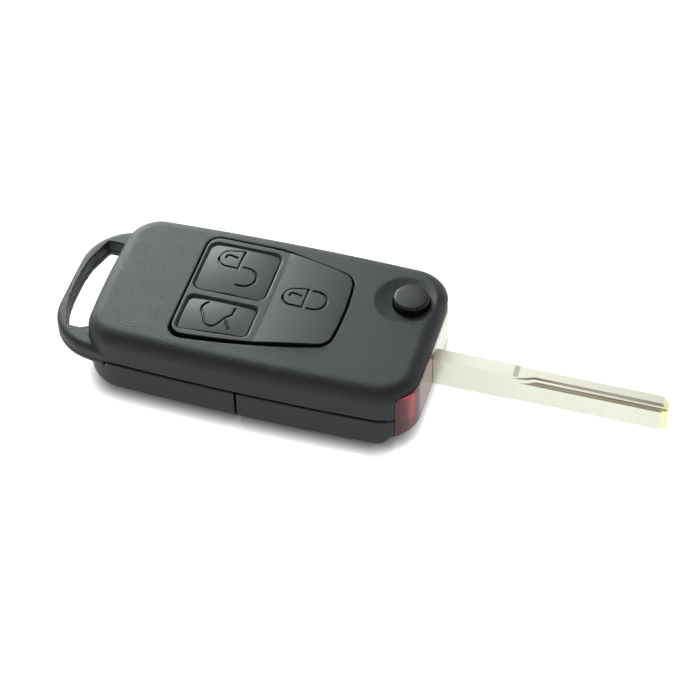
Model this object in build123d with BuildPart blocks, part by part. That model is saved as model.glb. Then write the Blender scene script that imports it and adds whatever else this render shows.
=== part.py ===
from build123d import *
import os
from math import sqrt

# Flip key remote shell, millimetres, lying on its back.
# Origin: centre of the case's plan on the face it rests on.
# +X runs towards the opened blade, +Y to the side that takes the folded blade, +Z up.

# Case
case_length = 68.2
case_width = 37.0
case_height = 16.7
parting_height = 9.0
side_bow = 1.2
widest_x = 4.9
front_bow = 0.15
rear_bow = 0.8
front_corner_radius = 8.0
rear_corner_radius = 7.0
top_edge_radius = 3.1
bottom_edge_radius = 4.1
wall = 1.5
roof_thickness = 1.7
floor_thickness = 1.6
seam_width = 0.5
seam_depth = 0.8

# Key ring loop at the rear end
loop_reach = 8.2
loop_root_from_rear = 5.6
loop_side_slope = 0.18
loop_corner_radius = 10.8
loop_rear_bow = 0.4
loop_band = 1.5
loop_hole_end_margin = 6.4
loop_hole_front_lap = 0.75
loop_hole_slant = 2.3
loop_hole_bow = 0.6
loop_hole_bow_half_length = 7.0
loop_hole_rear_rounding = 6.0
loop_hole_side_rounding = 3.0
loop_hole_front_rounding = 2.7
loop_upper_height = 2.7
loop_lower_height = 1.4
loop_top_rounding = 1.3
loop_bottom_rounding = 0.5
loop_overlap = 1.0
loop_step = 0.6
loop_side_proud = 0.05

# Release button and the dish round it
pivot_from_front = 6.95
folded_recess = 0.92
button_radius = 3.6
button_proud = 1.2
button_clearance = 0.12
button_edge_rounding = 0.35
button_flange_radius = 5.1
button_flange_thickness = 1.7
button_hollow_radius = 2.95
button_cap_thickness = 1.6
button_stop_depth = 0.4
button_stop_gap = 0.1
dish_radius = 6.4
dish_depth = 1.1
dish_shift_x = -1.0
dish_shift_y = -0.4

# Blade
blade_y = 0.0
blade_thickness = 3.0
blade_height = 7.0
blade_bottom = 4.5
blade_reach = 46.7
shoulder_reach = 16.0
shoulder_step = 0.26
shoulder_length = 1.0
tip_bevel_length = 1.4
tip_bevel_depth = 0.8
tip_top_chamfer = 1.2
track_bottom = 9.72
track_rib_bottom = 10.5
track_rib_top = 10.83
lower_track_depth = 0.87
upper_track_depth = 1.05
track_rib_recess = 0.5
lower_track_after_shoulder = 0.8
upper_track_before_shoulder = 0.7
track_cutter_radius = 12.0
tang_length = 7.3
tang_thickness = 2.0
tang_height = 5.2
tang_clearance = 0.04

# Turning hub that holds the blade
hub_bottom = 4.4
hub_top = 12.8
hub_recess = 0.1
hub_floor = 1.2
hub_spring_bore_radius = 5.2
hub_edge_chamfer = 0.2
hub_running_gap = 0.25
lug_width = 2.0
lug_reach = 0.7
lug_clearance = 0.1

# Openings for hub and blade
lip_height = 4.2
chamber_top = 13.1
front_edge_height = 14.6
front_skin = 0.6
chin_angle = 43.0
chin_wall = 1.6
chin_run_in = 3.0
chin_corner_reach = 3.7
chin_corner_drop = 0.9
slot_end_gap = 0.7
slot_side_gap = 0.28
slot_top = 11.8
slot_wall = 1.2
slot_floor_thickness = 1.0
slot_roof = 0.9
chamber_wall = 1.0
relief_from_front = 16.6

# Window round the near front corner
window_from_front = 3.55
window_thickness = 1.6
window_flange = 0.8
window_flange_top = 13.9
window_clearance = 0.1
window_tongue_length = 1.5
window_line_inset = 0.25
window_line_lap = 0.05

# Battery cover
cover_joint_x = -1.25
cover_gap = 0.4
cover_loop_gap = 0.12
ceiling_thickness = 2.0
bulkhead_thickness = 1.4
peg_radius = 1.0
peg_clearance = 0.05
peg_reach = 1.4
peg_end_gap = 0.3
rear_peg_from_rear = 4.5
rear_peg_from_side = 8.9
front_peg_from_joint = 3.55
near_peg_from_side = 5.1
far_peg_from_slot = 3.4
cell_radius = 10.3
cell_shift_x = 3.075
cell_y = -1.6
cell_rib_height = 3.6
cell_rib_thickness = 1.0
cell_rib_gap = 6.0
grip_groove_count = 3
grip_groove_pitch = 1.6
grip_groove_width = 0.8
grip_groove_depth = 0.35
grip_groove_length = 12.0
grip_groove_from_joint = 6.0

# Keypad
pad_proud = 0.1
pad_gap = 0.4
pad_left_margin = 17.3
pad_right_margin = 19.5
pad_near_left_margin = 5.0
pad_near_right_margin = 10.2
pad_near_bulge = 0.9
pad_near_taper = 0.35
pad_far_margin = 4.0
pad_far_bend_x = -1.0
pad_far_right_margin = 7.5
pad_right_bulge = 0.75
pad_corner_radius = 2.8
pad_front_corner_radius = 3.3
pad_bend_radius = 18.0
pad_flange = 0.9
pad_flange_thickness = 0.6
pad_flange_gap = 0.05
ridge_slope = 0.45
key_gap = 0.1
key_flange = 0.6
key_flange_thickness = 0.5
key_flange_clearance = 0.1
unlock_left_rim = 1.05
unlock_right_rim = 1.2
unlock_near_y = -0.1
unlock_far_rim = 1.75
unlock_corner_radius = 1.6
trunk_left_rim = 1.25
trunk_right_rim = 1.55
trunk_near_rim = 2.2
trunk_near_slope = 1.1
trunk_unlock_gap = 2.25
trunk_corner_radius = 1.0
lock_left_x = 0.1
panel_recess = 0.35
panel_dish_radius = 60.0
lock_dish_radius = 45.0
lock_dish_shift_x = 0.25
lock_dish_y = 1.6
icon_stroke = 0.42
icon_fine_stroke = 0.18
icon_depth = 0.25
lock_icon_bar = [(0.0, 5.1), (0.0, 0.0)]
lock_icon_body = [(-4.6, 2.4), (-4.2, 1.0), (-2.9, 0.15), (0.0, 0.0)]
lock_icon_top = [(-4.6, 2.4), (-4.2, 3.7), (-2.9, 4.6), (0.0, 5.1)]
lock_icon_keyhole = [(-3.2, 2.3), (-3.0, 3.3), (-2.0, 3.2), (-0.8, 3.0)]
shackle_gap = 0.8
shackle_leg = 1.1
shackle_width = 4.86
shackle_shut_y = 4.8
shackle_open_y = 0.6
lock_icon_shift = (-0.7, -1.6)
unlock_icon_shift = (-0.175, 0.575)
car_icon_body = [(-2.8, 3.8), (-3.6, 1.3), (-2.6, -0.4), (-1.8, -2.0), (-0.4, -2.4), (0.8, -1.2), (1.5, 0.3)]
car_icon_lid = [(3.2, -2.4), (1.5, 0.3), (2.7, 1.6), (2.7, 3.5)]

# Sealing mat under the keys
mat_bottom = 12.7
mat_thickness = 0.5
mat_left_margin = 3.1
mat_right_inset = 1.2
mat_near_inset = 0.3
mat_wall_gap = 0.25
mat_dome_radius = 2.2
mat_dome_gap = 0.03
stake_radius = 0.7
stake_clearance = 0.05
stake_head_radius = 1.1
stake_head_thickness = 0.4
stake_left_inset = 1.0
stake_right_inset = 2.0
stake_near_left_inset = 2.0
stake_far_left_inset = 1.65
stake_near_right_inset = 1.0

# Fasteners and small metal parts
screw_from_rear = 8.1
screw_from_side = 9.5
screw_shaft_radius = 0.9
screw_length = 6.0
screw_head_radius = 1.8
screw_head_height = 0.9
screw_clearance = 0.12
screw_recess_width = 0.5
screw_recess_length = 2.0
screw_recess_depth = 0.5
post_radius = 2.3
pivot_pin_radius = 2.0
pivot_pin_seat = 0.8
pivot_pin_clearance = 0.06
pivot_pin_reach = 2.4
pivot_pin_chamfer = 0.3
pivot_boss_radius = 3.3
washer_inner = 3.5
washer_outer = 4.8
washer_thickness = 0.5
washer_clearance = 0.3
thrust_gap = 0.1
spring_wire_radius = 0.3
spring_radius = 2.55
spring_turns = 7
roll_pin_radius = 0.8
roll_pin_from_front = 4.1
roll_pin_sink = 0.1
roll_pin_cover = 0.4
roll_pin_end_gap = 0.2
roll_pin_slit = 0.3
contact_width = 3.2
contact_thickness = 0.3
rivet_radius = 0.7
rivet_clearance = 0.05
rivet_head_height = 0.3
plus_rivet_from_rear = 5.9
minus_rivet_from_joint = 3.95
contact_tail = 1.8
plus_leaf = [(-0.6, 0.0), (-0.1, -2.2), (-0.1, -3.8), (-0.7, -4.5)]
minus_leaf = [(5.8, 0.0), (1.2, -1.9), (-0.4, -1.3)]

# Values worked out from the sizes above
half_length = case_length / 2
half_width = case_width / 2
roof_underside = case_height - roof_thickness
pivot_x = half_length - pivot_from_front
pivot_y = (half_width - folded_recess - blade_thickness / 2 + blade_y) / 2
near_face_y = blade_y - blade_thickness / 2
blade_end_x = half_length + blade_reach
blade_shoulder_x = half_length + shoulder_reach
lower_track_start_x = blade_shoulder_x + lower_track_after_shoulder
upper_track_start_x = blade_shoulder_x - upper_track_before_shoulder
roll_pin_x = half_length - roll_pin_from_front
slot_end_x = 2 * pivot_x - blade_end_x - slot_end_gap
slot_floor_y = 2 * pivot_y - blade_y - blade_thickness / 2 - slot_side_gap
relief_x = half_length - relief_from_front
window_edge_x = half_length - window_from_front
loop_root_x = -half_length + loop_root_from_rear
cell_x = (cover_joint_x - half_length) / 2 + cell_shift_x
hub_front_x = half_length - hub_recess
hub_rear_x = 2 * pivot_x - hub_front_x
hub_far_y = 2 * pivot_y - near_face_y
hub_corner_radius = front_corner_radius - 2 * hub_recess
hub_reach = sqrt((hub_front_x - pivot_x) ** 2 + (pivot_y - near_face_y) ** 2)
chamber_radius = hub_reach + hub_running_gap
washer_bottom = hub_bottom - thrust_gap - washer_thickness
lug_end = button_flange_radius + lug_reach
ceiling_bottom = parting_height - ceiling_thickness
loop_bottom = parting_height - loop_lower_height
loop_rear_x = -half_length - loop_reach
loop_front_x = loop_root_x + loop_overlap
seam_start_x = loop_root_x - loop_step
pad_left_x = -half_length + pad_left_margin
pad_right_x = half_length - pad_right_margin
pad_near_left_y = -half_width + pad_near_left_margin
pad_near_right_y = -half_width + pad_near_right_margin
pad_far_y = half_width - pad_far_margin
pad_far_right_y = half_width - pad_far_right_margin
unlock_left_x = pad_left_x + unlock_left_rim
unlock_right_x = lock_left_x - unlock_right_rim
unlock_far_y = pad_far_y - unlock_far_rim
trunk_left_x = pad_left_x + trunk_left_rim
trunk_right_x = lock_left_x - trunk_right_rim
trunk_near_left_y = pad_near_left_y + trunk_near_rim
trunk_near_right_y = trunk_near_left_y + trunk_near_slope
trunk_far_y = unlock_near_y - trunk_unlock_gap
lock_dish_x = (lock_left_x + pad_right_x) / 2 + lock_dish_shift_x
mat_left_x = pad_left_x - mat_left_margin
mat_right_x = pad_right_x - mat_right_inset
mat_near_y = pad_near_left_y + mat_near_inset
mat_far_y = slot_floor_y - slot_wall - mat_wall_gap
plus_rivet_x = -half_length + plus_rivet_from_rear
minus_rivet_x = cover_joint_x - minus_rivet_from_joint
pad_top = case_height + pad_proud
frame_bottom = roof_underside - pad_flange_gap - pad_flange_thickness
key_flange_top = frame_bottom - key_flange_clearance
key_bottom = key_flange_top - key_flange_thickness
button_top = case_height + button_proud
button_flange_top = chamber_top + button_stop_depth
button_flange_bottom = button_flange_top - button_flange_thickness
button_bore_radius = button_radius + button_clearance
cover_inset = wall + cover_gap
cover_top = parting_height - seam_width / 2
pivot = (pivot_x, pivot_y)
screw_x = -half_length + screw_from_rear
screw_y = half_width - screw_from_side
screw_places = [(screw_x, -screw_y), (screw_x, screw_y)]
rear_peg_x = -half_length + rear_peg_from_rear
rear_peg_y = half_width - rear_peg_from_side
front_peg_x = cover_joint_x - front_peg_from_joint
near_peg_y = -half_width + near_peg_from_side
far_peg_y = slot_floor_y - far_peg_from_slot
peg_places = [
    (rear_peg_x, -rear_peg_y),
    (rear_peg_x, rear_peg_y),
    (front_peg_x, near_peg_y),
    (front_peg_x, far_peg_y),
]
stake_left_x = mat_left_x + stake_left_inset
stake_places = [
    (stake_left_x, mat_near_y + stake_near_left_inset),
    (stake_left_x, mat_far_y - stake_far_left_inset),
    (mat_right_x - stake_right_inset, mat_near_y + stake_near_right_inset),
]
lap = 0.1
big = 4 * case_length

os.makedirs("parts", exist_ok=True)


def side_y(x):
    """Half width of the case at x, on its slightly bowed sides."""
    return half_width - side_bow * ((x - widest_x) / (half_length + widest_x)) ** 2


def moved_outline(outline, amount):
    """The rounded outline moved outwards by the amount, or inwards when it is negative."""
    middle = outline.center()
    with BuildSketch() as moved:
        with BuildLine():
            for edge in outline.edges():
                points = []
                for share in (0, 0.5, 1):
                    point = edge @ share
                    outward = Vector((edge % share).Y, -(edge % share).X)
                    if outward.dot(point - middle) < 0:
                        outward = -outward
                    points.append(point + outward * amount)
                if edge.geom_type == GeomType.LINE:
                    Line(points[0], points[2])
                else:
                    ThreePointArc(*points)
        make_face()
    return moved.sketch


# Plan of the case: four shallow arcs with rounded corners
with BuildSketch() as case_plan:
    with BuildLine():
        rear_x = -half_length + rear_bow
        rear_y = side_y(rear_x)
        front_x = half_length - front_bow
        front_y = side_y(front_x)
        ThreePointArc((rear_x, -rear_y), (widest_x, -half_width), (front_x, -front_y))
        ThreePointArc((front_x, -front_y), (half_length, 0), (front_x, front_y))
        ThreePointArc((front_x, front_y), (widest_x, half_width), (rear_x, rear_y))
        ThreePointArc((rear_x, rear_y), (-half_length, 0), (rear_x, -rear_y))
    make_face()
    fillet(case_plan.vertices().group_by(Axis.X)[-1], front_corner_radius)
    fillet(case_plan.vertices().group_by(Axis.X)[0], rear_corner_radius)

# Whole outer form of the case
with BuildPart() as case_envelope:
    add(case_plan.sketch)
    extrude(amount=case_height)
    fillet(case_envelope.faces().sort_by(Axis.Z)[-1].edges(), top_edge_radius)
    fillet(case_envelope.faces().sort_by(Axis.Z)[0].edges(), bottom_edge_radius)

# Hollow inside it
with BuildPart() as case_cavity:
    with BuildSketch(Plane.XY.offset(floor_thickness)):
        add(moved_outline(case_plan.sketch, -wall))
    extrude(amount=roof_underside - floor_thickness)
    fillet(case_cavity.faces().sort_by(Axis.Z)[-1].edges(), top_edge_radius - wall)
    fillet(case_cavity.faces().sort_by(Axis.Z)[0].edges(), bottom_edge_radius - wall)

# Space that the turning hub sweeps
with BuildPart() as hub_chamber:
    with BuildSketch(Plane.XY.offset(lip_height)):
        with Locations(pivot):
            Circle(chamber_radius)
    extrude(amount=chamber_top - lip_height)

# Slot along the far side for the folded blade
with BuildPart() as blade_slot:
    with BuildSketch(Plane.XY.offset(lip_height)):
        with Locations((slot_end_x, slot_floor_y)):
            Rectangle(pivot_x - slot_end_x, case_width, align=(Align.MIN, Align.MIN))
    extrude(amount=slot_top - lip_height)

# Walls of the slot inside the case
with BuildPart() as slot_walls:
    with BuildSketch(Plane.XY.offset(lip_height - slot_floor_thickness)):
        with Locations((slot_end_x - slot_wall, slot_floor_y - slot_wall)):
            Rectangle(pivot_x - slot_end_x + slot_wall, case_width, align=(Align.MIN, Align.MIN))
    extrude(amount=slot_top + slot_roof - lip_height + slot_floor_thickness)
    add(case_envelope.part, mode=Mode.INTERSECT)

# Round wall of the hub chamber inside the case
with BuildPart() as chamber_walls:
    with BuildSketch(Plane.XY.offset(floor_thickness / 2)):
        with Locations(pivot):
            Circle(chamber_radius + chamber_wall)
            Circle(chamber_radius, mode=Mode.SUBTRACT)
    extrude(amount=case_height - roof_thickness / 2 - floor_thickness / 2)
    with BuildSketch(Plane.XY.offset(chamber_top)):
        with Locations((relief_x, 0)):
            Rectangle(big, big, align=(Align.MAX, Align.CENTER))
    extrude(amount=case_height, mode=Mode.SUBTRACT)
    add(case_envelope.part, mode=Mode.INTERSECT)

# Key ring loop, before its parting
with BuildSketch() as loop_plan:
    loop_root_y = side_y(loop_root_x) + loop_side_proud
    loop_rear_y = loop_root_y - loop_side_slope * (loop_root_x - loop_rear_x)
    loop_end_x = loop_rear_x + loop_rear_bow
    with BuildLine():
        Line((loop_front_x, -loop_root_y), (loop_root_x, -loop_root_y))
        Line((loop_root_x, -loop_root_y), (loop_end_x, -loop_rear_y))
        ThreePointArc((loop_end_x, -loop_rear_y), (loop_rear_x, 0), (loop_end_x, loop_rear_y))
        Line((loop_end_x, loop_rear_y), (loop_root_x, loop_root_y))
        Line((loop_root_x, loop_root_y), (loop_front_x, loop_root_y))
        Line((loop_front_x, loop_root_y), (loop_front_x, -loop_root_y))
    make_face()
    fillet(loop_plan.vertices().group_by(Axis.X)[0], loop_corner_radius)

with BuildSketch() as loop_hole:
    hole_rear_x = loop_rear_x + loop_band
    hole_front_x = -half_length + loop_hole_front_lap
    slant_x = hole_rear_x + loop_hole_slant
    bow_x = hole_rear_x + loop_hole_bow
    bow_y = loop_hole_bow_half_length
    end_y = half_width - loop_hole_end_margin
    with BuildLine():
        Line((hole_front_x, -end_y), (slant_x, -end_y))
        Line((slant_x, -end_y), (bow_x, -bow_y))
        ThreePointArc((bow_x, -bow_y), (hole_rear_x, 0), (bow_x, bow_y))
        Line((bow_x, bow_y), (slant_x, end_y))
        Line((slant_x, end_y), (hole_front_x, end_y))
        Line((hole_front_x, end_y), (hole_front_x, -end_y))
    make_face()
    side_corners = loop_hole.vertices().filter_by_position(Axis.X, slant_x - lap, slant_x + lap)
    fillet(loop_hole.vertices().group_by(Axis.X)[0], loop_hole_rear_rounding)
    fillet(side_corners, loop_hole_side_rounding)
    fillet(loop_hole.vertices().group_by(Axis.X)[-1], loop_hole_front_rounding)

def keypad_outline(near_shift):
    """Middle of the gap round the keypad, its near left corner moved outwards by the shift."""
    near_left = (pad_left_x, pad_near_left_y - near_shift)
    near_right = (pad_right_x, pad_near_right_y)
    far_right = (pad_right_x, pad_far_right_y)
    near_middle = ((pad_left_x + pad_right_x) / 2, (near_left[1] + near_right[1]) / 2 - pad_near_bulge)
    right_middle = (pad_right_x + pad_right_bulge, (near_right[1] + far_right[1]) / 2)
    with BuildSketch() as outline:
        with BuildLine():
            ThreePointArc(near_left, near_middle, near_right)
            ThreePointArc(near_right, right_middle, far_right)
            Line(far_right, (pad_far_bend_x, pad_far_y))
            Line((pad_far_bend_x, pad_far_y), (pad_left_x, pad_far_y))
            Line((pad_left_x, pad_far_y), near_left)
        make_face()
        bend = outline.vertices().filter_by_position(Axis.X, pad_far_bend_x - 0.1, pad_far_bend_x + 0.1)
        fillet(bend, pad_bend_radius)
        fillet(outline.vertices().group_by(Axis.X)[0], pad_corner_radius)
        fillet(outline.vertices().group_by(Axis.X)[-1], pad_front_corner_radius)
    return outline.sketch


pad_plan = moved_outline(keypad_outline(-pad_near_taper), -pad_gap / 2)
opening_plan = moved_outline(keypad_outline(pad_near_taper), pad_gap / 2)

# Gap in the wall for the window
with BuildPart() as window_opening:
    with BuildSketch(Plane.XY.offset(lip_height)):
        add(moved_outline(case_plan.sketch, wall))
        add(moved_outline(case_plan.sketch, -(window_thickness + window_clearance)), mode=Mode.SUBTRACT)
        with Locations((window_edge_x, near_face_y)):
            Rectangle(case_width, case_width, align=(Align.MIN, Align.MAX), mode=Mode.INTERSECT)
    extrude(amount=front_edge_height - lip_height)

# Sloping wall under the window and the hub, and the space below it
with BuildPart() as chin:
    with BuildSketch(Plane.XY.offset(lip_height)):
        add(case_plan.sketch)
    extrude(amount=-lip_height, taper=chin_angle)

with BuildPart() as chin_hollow:
    with BuildSketch(Plane.XY.offset(lip_height)):
        add(moved_outline(case_plan.sketch, -chin_wall))
    extrude(amount=-lip_height, taper=chin_angle)

chin_side_x = window_edge_x - chin_wall / 2
chin_run_x = chin_side_x - chin_run_in
with BuildPart() as chin_side:
    with BuildSketch(Plane.XZ):
        with BuildLine():
            Polyline(
                (chin_run_x, -wall),
                (chin_run_x, 0),
                (chin_side_x, lip_height),
                (chin_side_x + case_width, lip_height),
                (chin_side_x + case_width, -wall),
                close=True,
            )
        make_face()
    extrude(amount=case_width, both=True)

with BuildPart() as chin_outside:
    add(chin_side.part)
    add(chin.part, mode=Mode.SUBTRACT)

with BuildPart() as chin_lining:
    add(chin_side.part)
    add(chin.part, mode=Mode.INTERSECT)
    add(chin_hollow.part, mode=Mode.SUBTRACT)

# Fillings where the sloping wall meets the upright side walls
with BuildPart() as chin_corners:
    with BuildSketch(Plane.XY.offset(floor_thickness - lap)):
        add(moved_outline(case_plan.sketch, -(wall - lap)))
        add(moved_outline(case_plan.sketch, -chin_corner_reach), mode=Mode.SUBTRACT)
        with Locations((chin_run_x - wall, 0)):
            corner_length = window_edge_x - chin_run_x + wall
            Rectangle(corner_length, case_width, align=(Align.MIN, Align.CENTER), mode=Mode.INTERSECT)
    extrude(amount=lip_height - chin_corner_drop - floor_thickness + lap)

# Upper half of the case
with BuildPart() as loop_upper:
    with BuildSketch(Plane.XY.offset(parting_height)):
        add(loop_plan.sketch)
    extrude(amount=loop_upper_height)
    rim = loop_upper.faces().sort_by(Axis.Z)[-1].edges().filter_by_position(Axis.X, -big, loop_root_x)
    fillet(rim, loop_top_rounding)
    with BuildSketch(Plane.XY.offset(parting_height)):
        add(loop_hole.sketch)
    extrude(amount=loop_upper_height, mode=Mode.SUBTRACT)
    add(case_cavity.part, mode=Mode.SUBTRACT)

with BuildPart() as upper_case:
    add(case_envelope.part)
    add(case_cavity.part, mode=Mode.SUBTRACT)
    add(slot_walls.part)
    add(chamber_walls.part)
    with BuildSketch(Plane.XY.offset(chamber_top)):
        with Locations(pivot):
            Circle(dish_radius + wall)
        add(moved_outline(case_plan.sketch, -front_skin), mode=Mode.INTERSECT)
    extrude(amount=roof_underside - chamber_top + lap)
    add(blade_slot.part, mode=Mode.SUBTRACT)
    add(hub_chamber.part, mode=Mode.SUBTRACT)
    add(window_opening.part, mode=Mode.SUBTRACT)
    with BuildSketch(Plane.XY.offset(chamber_top)):
        with Locations((window_edge_x, 0)):
            Rectangle(case_width, case_width, align=(Align.MIN, Align.CENTER))
        add(moved_outline(case_plan.sketch, -front_skin), mode=Mode.SUBTRACT)
    extrude(amount=front_edge_height - chamber_top, mode=Mode.SUBTRACT)
    split(bisect_by=Plane.XY.offset(parting_height))
    add(loop_upper.part)
    with BuildSketch(Plane.XY.offset(parting_height)):
        with Locations((seam_start_x, 0)):
            Rectangle(big, big, align=(Align.MIN, Align.CENTER))
        add(moved_outline(case_plan.sketch, -seam_depth), mode=Mode.SUBTRACT)
    extrude(amount=seam_width / 2, mode=Mode.SUBTRACT)
    with BuildSketch(Plane.XY.offset(frame_bottom)):
        add(opening_plan)
    extrude(amount=case_height, mode=Mode.SUBTRACT)
    with BuildSketch(Plane.XY.offset(chamber_top - wall)):
        with Locations(pivot):
            Circle(button_bore_radius)
    extrude(amount=case_height, mode=Mode.SUBTRACT)
    with BuildSketch(Plane.XY.offset(chamber_top)):
        with Locations(pivot):
            Circle(lug_end + lug_clearance)
    extrude(amount=button_stop_depth + button_stop_gap, mode=Mode.SUBTRACT)
    dish_sphere_radius = (dish_radius ** 2 + dish_depth ** 2) / (2 * dish_depth)
    dish_z = case_height - dish_depth + dish_sphere_radius
    with Locations((pivot_x + dish_shift_x, pivot_y + dish_shift_y, dish_z)):
        Sphere(dish_sphere_radius, mode=Mode.SUBTRACT)
    with BuildSketch(Plane.XY.offset(parting_height)):
        with Locations(*screw_places):
            Circle(post_radius)
    extrude(amount=roof_underside + lap - parting_height)
    with BuildSketch(Plane.XY.offset(parting_height)):
        with Locations(*screw_places):
            Circle(screw_shaft_radius)
    extrude(amount=screw_length, mode=Mode.SUBTRACT)
    with BuildSketch(Plane.XY.offset(mat_bottom - stake_head_thickness)):
        with Locations(*stake_places):
            Circle(stake_head_radius)
    extrude(amount=stake_head_thickness)
    with BuildSketch(Plane.XY.offset(mat_bottom)):
        with Locations(*stake_places):
            Circle(stake_radius)
    extrude(amount=roof_underside + lap - mat_bottom)
upper_case.part.label = "upper_case"
export_step(upper_case.part, "parts/upper_case.step")

# Lower half of the case: front tub, battery ceiling and lower half of the loop
with BuildPart() as loop_lower:
    with BuildSketch(Plane.XY.offset(loop_bottom)):
        add(loop_plan.sketch)
        with Locations((seam_start_x, 0)):
            Rectangle(big, big, align=(Align.MIN, Align.CENTER), mode=Mode.SUBTRACT)
    extrude(amount=loop_lower_height)
    underside = loop_lower.faces().sort_by(Axis.Z)[0]
    rim = underside.edges().filter_by_position(Axis.X, -big, loop_root_x - loop_overlap)
    fillet(rim, loop_bottom_rounding)
    with BuildSketch(Plane.XY.offset(loop_bottom)):
        add(loop_hole.sketch)
        with Locations((-half_length + rear_bow - lap, 0)):
            Rectangle(big, big, align=(Align.MIN, Align.CENTER), mode=Mode.SUBTRACT)
    extrude(amount=loop_lower_height, mode=Mode.SUBTRACT)

with BuildPart() as battery_ceiling:
    with BuildSketch(Plane.XY.offset(ceiling_bottom)):
        add(moved_outline(case_plan.sketch, -cover_inset))
    extrude(amount=ceiling_thickness)
    add(slot_walls.part)
    with BuildSketch():
        add(moved_outline(case_plan.sketch, -cover_inset))
    extrude(amount=parting_height, mode=Mode.INTERSECT)
    split(bisect_by=Plane.YZ.offset(cover_joint_x + bulkhead_thickness), keep=Keep.BOTTOM)

with BuildPart() as lower_case:
    add(case_envelope.part)
    add(case_cavity.part, mode=Mode.SUBTRACT)
    add(slot_walls.part)
    add(chamber_walls.part)
    with BuildSketch(Plane.YZ.offset(cover_joint_x)):
        with Locations((0, floor_thickness - lap)):
            bulkhead_width = case_width - 2 * (wall - lap)
            bulkhead_height = parting_height - floor_thickness + lap
            Rectangle(bulkhead_width, bulkhead_height, align=(Align.CENTER, Align.MIN))
    extrude(amount=bulkhead_thickness)
    with BuildSketch(Plane.XY.offset(parting_height - seam_width / 2)):
        Rectangle(big, big)
        add(moved_outline(case_plan.sketch, -seam_depth), mode=Mode.SUBTRACT)
    extrude(amount=seam_width / 2, mode=Mode.SUBTRACT)
    split(bisect_by=Plane.XY.offset(parting_height), keep=Keep.BOTTOM)
    split(bisect_by=Plane.YZ.offset(cover_joint_x))
    add(battery_ceiling.part)
    add(loop_lower.part)
    add(blade_slot.part, mode=Mode.SUBTRACT)
    add(hub_chamber.part, mode=Mode.SUBTRACT)
    with BuildSketch(Plane.XY.offset(floor_thickness / 2)):
        with Locations(pivot):
            Circle(washer_outer)
    extrude(amount=washer_bottom - floor_thickness / 2)
    with BuildSketch(Plane.XY.offset(washer_bottom)):
        with Locations(pivot):
            Circle(washer_outer + washer_clearance)
    extrude(amount=lip_height - washer_bottom, mode=Mode.SUBTRACT)
    add(window_opening.part, mode=Mode.SUBTRACT)
    add(chin_lining.part)
    add(chin_corners.part)
    add(chin_outside.part, mode=Mode.SUBTRACT)
    with BuildSketch(Plane.XY.offset(floor_thickness / 2)):
        with Locations(pivot):
            Circle(pivot_boss_radius)
    extrude(amount=hub_bottom - thrust_gap - floor_thickness / 2)
    with BuildSketch(Plane.XY.offset(pivot_pin_seat)):
        with Locations(pivot):
            Circle(pivot_pin_radius)
    extrude(amount=case_height, mode=Mode.SUBTRACT)
    with BuildSketch(Plane.XY.offset(ceiling_bottom)):
        with Locations(*screw_places):
            Circle(screw_head_radius + screw_clearance)
    extrude(amount=screw_head_height, mode=Mode.SUBTRACT)
    with BuildSketch(Plane.XY.offset(ceiling_bottom)):
        with Locations(*screw_places):
            Circle(screw_shaft_radius + screw_clearance)
    extrude(amount=case_height, mode=Mode.SUBTRACT)
    with BuildSketch(Plane.XY.offset(ceiling_bottom)):
        with Locations(*peg_places):
            Circle(peg_radius + peg_clearance)
    extrude(amount=peg_reach + peg_end_gap, mode=Mode.SUBTRACT)
    with BuildSketch(Plane.XY.offset(ceiling_bottom)):
        with Locations((plus_rivet_x, cell_y), (minus_rivet_x, cell_y)):
            Circle(rivet_radius + rivet_clearance)
    extrude(amount=case_height, mode=Mode.SUBTRACT)
lower_case.part.label = "lower_case"
export_step(lower_case.part, "parts/lower_case.step")

# Battery cover
with BuildPart() as battery_cover:
    add(case_envelope.part)
    add(case_cavity.part, mode=Mode.SUBTRACT)
    split(bisect_by=Plane.XY.offset(cover_top), keep=Keep.BOTTOM)
    split(bisect_by=Plane.YZ.offset(cover_joint_x - cover_gap), keep=Keep.BOTTOM)
    with BuildSketch(Plane.XY.offset(loop_bottom - cover_loop_gap)):
        with Locations((seam_start_x + cover_loop_gap, 0)):
            Rectangle(big, big, align=(Align.MAX, Align.CENTER))
    extrude(amount=case_height, mode=Mode.SUBTRACT)
    with BuildSketch(Plane.XY.offset(lip_height)):
        with Locations((slot_end_x - slot_wall - cover_gap, slot_floor_y - slot_wall - cover_gap)):
            Rectangle(big, big, align=(Align.MIN, Align.MIN))
    extrude(amount=case_height, mode=Mode.SUBTRACT)
    with BuildSketch(Plane.XY.offset(floor_thickness / 2)):
        with Locations((cell_x, cell_y)):
            Circle(cell_radius + cell_rib_thickness)
            Circle(cell_radius, mode=Mode.SUBTRACT)
            Rectangle(case_length, cell_rib_gap, mode=Mode.SUBTRACT)
            Rectangle(cell_rib_gap, case_length, mode=Mode.SUBTRACT)
    extrude(amount=floor_thickness / 2 + cell_rib_height)
    with BuildSketch(Plane.XY.offset(floor_thickness / 2)):
        with Locations(*peg_places):
            Circle(peg_radius)
    extrude(amount=ceiling_bottom + peg_reach - floor_thickness / 2)
    with BuildSketch():
        with Locations((cover_joint_x - grip_groove_from_joint, 0)):
            with GridLocations(grip_groove_pitch, 0, grip_groove_count, 1):
                Rectangle(grip_groove_width, grip_groove_length)
    extrude(amount=grip_groove_depth, mode=Mode.SUBTRACT)
battery_cover.part.label = "battery_cover"
export_step(battery_cover.part, "parts/battery_cover.step")

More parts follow.
